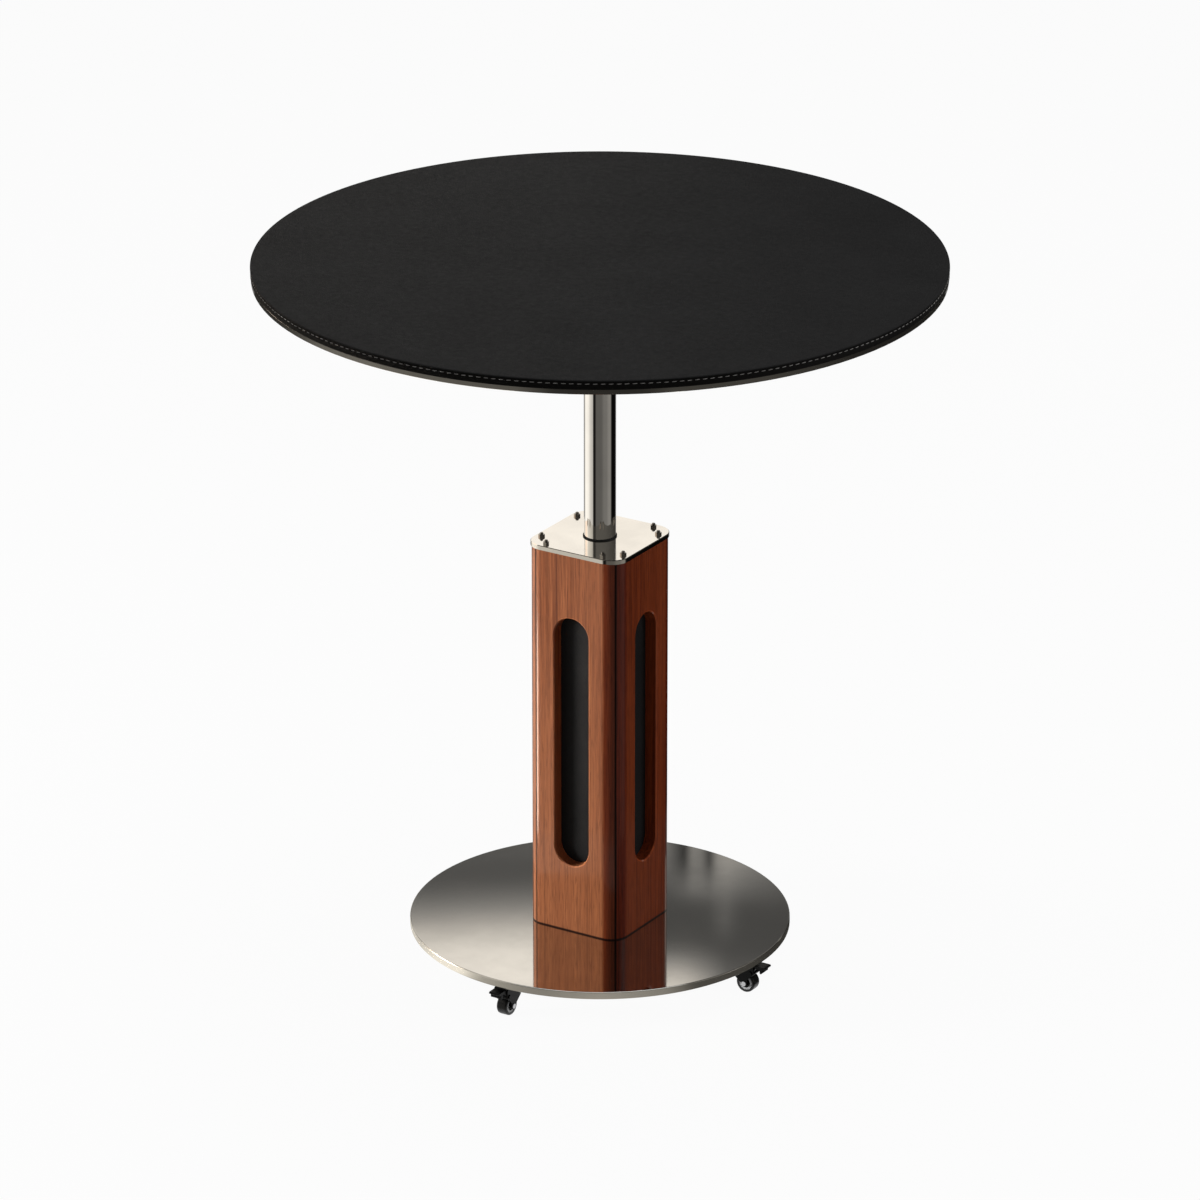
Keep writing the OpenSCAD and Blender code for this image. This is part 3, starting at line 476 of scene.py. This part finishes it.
wrap_heights = [WRAP_Z + WRAP_SOFT + (SEAM_Z - WRAP_Z - 2 * WRAP_SOFT) * i / WRAP_ROWS
                for i in range(WRAP_ROWS + 1)]
wrap = lathe("rim_wrap", [
    (BOARD_R, WRAP_Z), (RIM_R - WRAP_SOFT, WRAP_Z), *[(RIM_R, z) for z in wrap_heights],
    (RIM_R - WRAP_SOFT, SEAM_Z), (BOARD_R, SEAM_Z)],
    rim_leather, STITCHES * 4, pucker)
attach(wrap, "tabletop")
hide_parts("edge_leather")

# A stitch: its half length as a part of the pitch, the thread's radius, the least that is left of
# its section at the tips, how far its middle line lies inside the band's radius and how much
# further at the tips, and how far a tip is from level
STITCH_PART = 0.36
THREAD_R = 0.00038
THREAD_TIP = 0.04
THREAD_IN = 0.00012
THREAD_BOW = 0.00022
THREAD_SLANT = 0.00012
THREAD_SIDES = 6
THREAD_PARTS = 7


def stitches():
    """One row of short slanted threads round the rim."""
    verts, faces = [], []
    sides, parts = THREAD_SIDES, THREAD_PARTS
    pitch = 2 * math.pi / STITCHES
    half = STITCH_PART * pitch
    for k in range(STITCHES):
        first = len(verts)
        for i in range(parts):
            t = -1 + 2 * i / (parts - 1)
            a = k * pitch + t * half
            thick = THREAD_R * math.sqrt(max(1 - abs(t) ** 3, THREAD_TIP))
            out = RIM_R - THREAD_IN - THREAD_BOW * t * t
            height = STITCH_Z + THREAD_SLANT * t
            for j in range(sides):
                b = 2 * math.pi * j / sides
                r = out + thick * math.cos(b)
                verts.append((r * math.cos(a), r * math.sin(a), height + thick * math.sin(b)))
        for i in range(parts - 1):
            here, there = first + i * sides, first + (i + 1) * sides
            for j in range(sides):
                n = (j + 1) % sides
                faces.append((here + j, here + n, there + n, there + j))
        faces.append(tuple(first + j for j in reversed(range(sides))))
        faces.append(tuple(first + (parts - 1) * sides + j for j in range(sides)))
    return build("rim_stitches", verts, faces, stitch_thread, 70)


thread = stitches()
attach(thread, "tabletop")


# ---- The boards behind the windows

BOARD_SOFT = 0.0009
BOARD_SWELL = 0.00025
BOARD_ACROSS = 14
BOARD_TALL = 60


def covered_board(name, node):
    """A board wrapped in leather: soft edges and a face that swells very slightly."""
    low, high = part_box(node)
    size = high - low
    centre = (low + high) / 2
    flat = 0 if size.x < size.y else 1
    wide = 1 - flat
    bm = bmesh.new()
    bmesh.ops.create_cube(bm, size=1)
    bmesh.ops.scale(bm, vec=size, verts=bm.verts)
    bmesh.ops.bevel(bm, geom=bm.edges[:] + bm.verts[:], offset=BOARD_SOFT, segments=3,
                    profile=0.6, affect="EDGES")
    bmesh.ops.translate(bm, vec=centre, verts=bm.verts)
    for axis, count in ((wide, BOARD_ACROSS), (2, BOARD_TALL)):
        normal = Vector((0, 0, 0))
        normal[axis] = 1
        for i in range(1, count):
            point = low.copy()
            point[axis] = low[axis] + i * (size[axis] / count)
            bmesh.ops.bisect_plane(bm, geom=bm.verts[:] + bm.edges[:] + bm.faces[:],
                                   plane_co=point, plane_no=normal)
    for v in bm.verts:
        u = (v.co[wide] - centre[wide]) / (size[wide] / 2)
        w = (v.co[2] - centre[2]) / (size[2] / 2)
        full = max(0, 1 - abs(u) ** 6) * max(0, 1 - abs(w) ** 24)
        outward = 1 if v.co[flat] > centre[flat] else -1
        v.co[flat] -= outward * BOARD_SWELL * (1 - full)
    mesh = bpy.data.meshes.new(name)
    bm.to_mesh(mesh)
    bm.free()
    smooth(mesh, 50)
    piece = place(name, mesh, looks["insert_leather"])
    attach(piece, "base")
    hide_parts(node)


for side in ("front", "right", "back", "left"):
    covered_board("window_board_" + side, "insert_" + side)


# ---- The tyres

# How far the shoulders reach in from the sides and how far they drop, and the lip over the ring
TYRE_SOFT = 0.0022
TYRE_DROP = 0.0006
TYRE_LIP = 0.0008
TYRE_ROWS = 12
TYRE_STEPS = 64


def round_tyre(side, centre, axle):
    """A tyre with soft shoulders and a thin lip over the ring, turned round its axle."""
    spots = [v.co - centre for v in nodes[side + "_tyre"].data.vertices]
    half = max(abs(spot.dot(axle)) for spot in spots)
    reach = [(spot - axle * spot.dot(axle)).length for spot in spots]
    inner, outer = min(reach) - TYRE_LIP, max(reach)
    profile = [(inner, -half), (inner, half)]
    for i in range(2 * TYRE_ROWS + 1):
        w = half * (1 - i / TYRE_ROWS)
        over = max(abs(w) - (half - TYRE_SOFT), 0) / TYRE_SOFT
        profile.append((outer - TYRE_DROP * (1 - math.sqrt(max(1 - over * over, 0))), w))
    up = Vector((0, 0, 1))
    out = axle.cross(up)
    verts, faces = [], []
    for i in range(TYRE_STEPS):
        a = 2 * math.pi * i / TYRE_STEPS
        ray = out * math.cos(a) + up * math.sin(a)
        verts += [tuple(centre + ray * r + axle * w) for r, w in profile]
    rows = len(profile)
    for i in range(TYRE_STEPS):
        here, there = i * rows, (i + 1) % TYRE_STEPS * rows
        for j in range(rows):
            n = (j + 1) % rows
            faces.append((here + j, here + n, there + n, there + j))
    piece = build(side + "_round_tyre", verts, faces, looks["tyre"], 50)
    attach(piece, side + "_roller")
    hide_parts(side + "_tyre")


for side, centre, axle in casters:
    round_tyre(side, centre, axle.normalized())


# ---- Floor and world

FLOOR_HALF = 30
FLOOR_LIGHT = (0.6, 0.6, 0.6)
FLOOR_SHOWN = (0.9, 0.9, 0.9)
FLOOR_GLOW = 0.95
WORLD_LIGHT = (0.18, 0.18, 0.18)
WHITE = (1, 1, 1)


def hide_from(piece, *rays):
    """Hides a piece from rays of these kinds."""
    for ray in rays:
        setattr(piece, "visible_" + ray, False)


def bare(name):
    """A material without nodes."""
    mat = bpy.data.materials.new(name)
    mat.use_nodes = True
    mat.node_tree.nodes.clear()
    return mat


def seen(tree):
    """1 for rays from the camera, a mirror or glass, else 0. A mirror that lights a dull surface
    doesn't count."""
    def combine(how, a, b):
        made = add(tree, "Math", a, b)
        made.operation = how
        return made.outputs[0]

    path = add(tree, "LightPath").outputs
    shown = combine("MAXIMUM", path["Is Camera Ray"], path["Is Glossy Ray"])
    shown = combine("MAXIMUM", shown, path["Is Transmission Ray"])
    direct = combine("LESS_THAN", path["Diffuse Depth"], 0.5)
    return combine("MULTIPLY", shown, direct)


def pale_floor():
    """Nearly white where it is seen, with the table's shadow, and grey in the light it throws."""
    mat = bare("pale_floor")
    tree = mat.node_tree
    plain = add(tree, "BsdfDiffuse", Color=(*FLOOR_LIGHT, 1)).outputs[0]
    pale = add(tree, "BsdfDiffuse", Color=(*FLOOR_SHOWN, 1)).outputs[0]
    white = add(tree, "Emission", Color=(*WHITE, 1)).outputs[0]
    shown = add(tree, "MixShader", FLOOR_GLOW, pale, white).outputs[0]
    chosen = add(tree, "MixShader", seen(tree), plain, shown).outputs[0]
    add(tree, "OutputMaterial", Surface=chosen)
    return mat


floor_mesh = bpy.data.meshes.new("floor")
floor_mesh.from_pydata([(-FLOOR_HALF, -FLOOR_HALF, 0), (FLOOR_HALF, -FLOOR_HALF, 0),
                        (FLOOR_HALF, FLOOR_HALF, 0), (-FLOOR_HALF, FLOOR_HALF, 0)],
                       [], [(0, 1, 2, 3)])
floor = place("floor", floor_mesh, pale_floor())

world = bpy.data.worlds.new("studio")
scene.world = world
world.use_nodes = True
tree = world.node_tree
put(tree, tree.nodes["Background"].inputs["Color"],
    mixed(tree, seen(tree), WORLD_LIGHT, WHITE))


# ---- Cards round the table that only mirrors see

# The camera stands on this side of the table: degrees about Z from -Y towards +X. A turn is
# counted from there, to the right as the camera sees it
VIEW = 32.0


def around(turn, distance, height):
    """A point at a turn from the camera's side."""
    a = math.radians(VIEW + turn)
    return (distance * math.sin(a), -distance * math.cos(a), height)


def along(table, at):
    """The value at a point of a table of (place, value) rows, straight between them."""
    if at <= table[0][0]:
        return table[0][1]
    for (a, low), (b, high) in zip(table, table[1:]):
        if at <= b:
            return low + (high - low) * (at - a) / (b - a)
    return table[-1][1]


def card(name, turns, path, grey, warm):
    """A curved card. path is a row of (radius, z). grey(turn, radius, z) gives the card's
    brightness at each point, which warm(grey) tints."""
    verts, tones, faces = [], [], []
    for turn in turns:
        for r, z in path:
            verts.append(around(turn, r, z))
            value = grey(turn, r, z)
            tones += [value * tint for tint in warm(value)] + [1]
    rows = len(path)
    for i in range(len(turns) - 1):
        for k in range(i * rows, (i + 1) * rows - 1):
            faces.append((k, k + rows, k + rows + 1, k + 1))
    mesh = bpy.data.meshes.new(name)
    mesh.from_pydata(verts, [], faces)
    mesh.attributes.new("tone", "FLOAT_COLOR", "POINT").data.foreach_set("color", tones)
    mat = bare(name)
    tone = add(mat.node_tree, "Attribute")
    tone.attribute_name = "tone"
    glow = add(mat.node_tree, "Emission", Color=tone.outputs["Color"])
    add(mat.node_tree, "OutputMaterial", Surface=glow.outputs[0])
    piece = place(name, mesh, mat)
    hide_from(piece, "camera", "diffuse", "shadow", "transmission", "volume_scatter")


# The bowl: a floor and a wall, with brightness by turn in four zones. Outwards and upwards, they
# are the foot, which the side of the disc mirrors; the low zone, for the pole and the column; the
# high zone, for the top's hoop; and the crown, for the rounded edges of the disc and the plate. In
# the low zone a softbox stands on the left, with a narrow black flag beside it, then a grey front,
# a paler right and a black far right
FOOT_ZONE = [(-172, 0.47), (-90, 0.88), (-76, 1.3), (-60, 1.4), (-50, 0.53), (-24, 0.33),
             (0, 0.45), (26, 0.33), (38, 0.1), (80, 0.05), (120, 0.05), (172, 0.47)]
LOW_ZONE = [(-172, 0.55), (-140, 0.6), (-122, 1.2), (-90, 1.1), (-76, 0.80), (-66, 0.66),
            (-54, 0.6), (-48, 0.03), (-38, 0.004), (-33, 0.02), (-27, 0.115), (8, 0.118),
            (14, 0.13), (28, 0.18), (50, 0.19), (60, 0.24), (80, 0.27), (88, 0.05),
            (95, 0.003), (172, 0.003)]
HIGH_ZONE = [(-172, 0.02), (-118, 0.04), (-104, 0.08), (-92, 0.16), (-70, 0.18), (-56, 0.13),
             (-24, 0.11), (-13, 0.03), (13, 0.03), (20, 0.06), (50, 0.06), (80, 0.02),
             (172, 0.01)]
CROWN_ZONE = [(-172, 0.08), (-142, 0.1), (-130, 1.5), (-104, 1.5), (-94, 0.95), (-88, 0.9),
              (-66, 0.75), (-54, 0.6), (-48, 0.05), (-33, 0.05), (-27, 0.13), (10, 0.13),
              (40, 0.12), (80, 0.09), (172, 0.04)]

# Where the zones meet. The low one ends lower towards the sides, because the hoop's sides mirror a
# lower part of the wall
FOOT_R = 0.34
BOWL_R = 1.1
LOW_END = [(60, 0.22), (110, 0.165)]
LOW_FADE = 0.035
HIGH_END = 0.42
CROWN_START = 0.5

# A bright strip on the floor at the left, which shines in the lacquer, and a pale patch of the wall
# at the far right, for the disc's edge
STRIP_TURN = -88
STRIP_WIDTH = 5
STRIP_GLOW = 24
STRIP_END = 0.86
PATCH_GLOW = 1.1
PATCH_TURNS = [(124, 0), (132, 1)]
PATCH_HEIGHTS = [(0.30, 0), (0.36, 1), (0.58, 1), (0.64, 0)]

# The bowl's tint, and the warmer one of what is at least this bright
BOWL_TINT = (1, 0.95, 0.86)
GLOW_TINT = (1, 0.82, 0.68)
GLOW_FROM = 1.5

BOWL_LOW = 0.001
BOWL_RINGS = (0.17, FOOT_R - 0.001, FOOT_R + 0.01, STRIP_END - 0.01, STRIP_END + 0.01, BOWL_R)
BOWL_HEIGHTS = (0.15, *[0.165 + 0.0125 * i for i in range(7)],
                0.255, 0.30, 0.36, 0.42, 0.5, 0.58, 0.64, 1.4)


def bowl_grey(turn, r, z):
    if r < FOOT_R:
        return along(FOOT_ZONE, turn)
    low, high, crown = (along(zone, turn) for zone in (LOW_ZONE, HIGH_ZONE, CROWN_ZONE))
    if r < STRIP_END:
        low += STRIP_GLOW * bell(turn, STRIP_TURN, STRIP_WIDTH)
    patch = PATCH_GLOW * along(PATCH_TURNS, turn) * along(PATCH_HEIGHTS, z)
    end = along(LOW_END, abs(turn))
    return along([(end, low), (end + LOW_FADE, high), (HIGH_END, high),
                  (CROWN_START, crown)], z) + patch


def bowl_warm(value):
    return BOWL_TINT if value < GLOW_FROM else GLOW_TINT


card("bowl", range(-172, 173, 2),
     [(r, BOWL_LOW) for r in BOWL_RINGS] + [(BOWL_R, z) for z in BOWL_HEIGHTS],
     bowl_grey, bowl_warm)

# The card behind the table, for the disc's upper face. The lower a point of it is, the further from
# the camera the disc mirrors it. On the left it goes from dark to bright upwards. On the right,
# soft streaks with two dark gaps give way upwards to a dark band with a faint streak of its own,
# and that to a bright area. The right half blends into the left one between the turns of HALVES
BACK_R = 1.0
BACK_TURNS = [144 + 0.5 * i for i in range(145)]
BACK_HEIGHTS = [0.0, 0.3] + [0.36 + 0.008 * i for i in range(36)] + [0.86, 0.94, 1.0, 2.2]
BACK_GAIN = 1.18
BACK_TOP = (0.96, 0.1)
BACK_END = 0.86
HALVES = (178.5, 181.5)
LEFT_FADE = [(0.38, 0.13), (0.42, 0.11), (0.435, 0.09), (0.45, 0.10), (0.465, 0.17),
             (0.48, 0.28), (0.495, 0.48), (0.51, 0.72), (0.53, 0.92), (0.55, 1.0)]
LEFT_RISE = 0.05
LEFT_TURNS = [(190, 0), (196, 1)]
FAR_STREAKS = [(168.5, 0.15), (170.5, 0.25), (174.3, 0.5), (176.2, 0.18)]
FAR_END = 0.42
GAPS = [(173.6, 0.48), (175.1, 0.65)]
GAP_DEPTH = 0.95
GAP_HEIGHTS = [(0.43, 1), (0.465, 0)]
NEAR_START = 0.475
NEAR_GREY = 0.075
NEAR_TURNS = [(172.4, 0.12), (175.2, 1)]
NEAR_FADE = [(0.51, 0), (0.527, 0.03), (0.545, 0.28), (0.56, 0.6), (0.59, 0.9)]
NEAR_STREAK = 0.06
NEAR_STREAK_TURN = 172.6
NEAR_STREAK_WIDTH = 0.6
NEAR_STREAK_HEIGHTS = [(0.49, 1), (0.52, 0)]

# The back card's tint grows with its brightness, up to this one
WARM_FULL = 0.6
WARM_GREEN = 0.05
WARM_BLUE = 0.11


def back_grey(turn, r, z):
    left = along(LEFT_FADE, z)
    gaps = sum(GAP_DEPTH * bell(turn, *gap) for gap in GAPS) * along(GAP_HEIGHTS, z)
    far = along(FAR_STREAKS, turn) * (1 - gaps)
    near = NEAR_GREY + along(NEAR_TURNS, turn) * along(NEAR_FADE, z)
    streak = NEAR_STREAK * bell(turn, NEAR_STREAK_TURN, NEAR_STREAK_WIDTH)
    near += streak * along(NEAR_STREAK_HEIGHTS, z)
    right = along([(FAR_END, far), (NEAR_START, near)], z)
    whole = along([(HALVES[0], right), (HALVES[1], left)], turn)
    whole += LEFT_RISE * along(LEFT_TURNS, turn)
    return along([(BACK_END, whole * BACK_GAIN), BACK_TOP], z)


def back_warm(value):
    warm = min(value, WARM_FULL) / WARM_FULL
    return (1, 1 - WARM_GREEN * warm, 1 - WARM_BLUE * warm)


card("back", BACK_TURNS, [(BACK_R, z) for z in BACK_HEIGHTS], back_grey, back_warm)


# ---- Lamps and camera

def lamp(name, where, aim, size, power):
    """A soft lamp at a point, turned to another point. The camera doesn't see it."""
    data = bpy.data.lights.new(name, "AREA")
    data.shape = "RECTANGLE"
    data.size, data.size_y = size
    data.energy = power
    piece = bpy.data.objects.new(name, data)
    scene.collection.objects.link(piece)
    piece.location = where
    piece.rotation_euler = (Vector(aim) - Vector(where)).to_track_quat("-Z", "Y").to_euler()
    hide_from(piece, "camera")
    return piece


KEY_TURN = -87
key = lamp("key", around(KEY_TURN, 2.6, 0.3), aim=(0, 0, 0.22), size=(0.7, 0.5), power=100)
hide_from(key, "glossy")
lamp("fill_right", around(80, 2.6, 0.7), aim=(0, 0, 0.3), size=(1.2, 1.2), power=14)
lamp("overhead", around(115, 0.7, 3.0), aim=(0, 0, 0.6), size=(2.4, 2.4), power=23)

# A curved flag keeps the key off the rim of the top
FLAG_R = 0.9
FLAG_TURNS = (-45, -30, -15, 0, 15, 30, 45)
FLAG_HEIGHTS = (0.475, 0.72)
flag_mesh = bpy.data.meshes.new("flag")
flag_mesh.from_pydata(
    [around(KEY_TURN + turn, FLAG_R, z) for turn in FLAG_TURNS for z in FLAG_HEIGHTS], [],
    [(2 * i, 2 * i + 2, 2 * i + 3, 2 * i + 1) for i in range(len(FLAG_TURNS) - 1)])
flag = bpy.data.objects.new("flag", flag_mesh)
scene.collection.objects.link(flag)
hide_from(flag, "camera", "diffuse", "glossy")

camera_data = bpy.data.cameras.new("camera")
camera_data.sensor_width = 36
camera_data.lens = 221.283
camera_data.clip_end = 100
camera = bpy.data.objects.new("camera", camera_data)
camera.location = (3.1695, -5.0722, 2.7224)
camera.rotation_euler = (math.radians(68.2561), 0, math.radians(VIEW))
scene.collection.objects.link(camera)
scene.camera = camera

scene.view_settings.view_transform = "Standard"


def plain(box):
    return [[float(c) for c in corner] for corner in box]
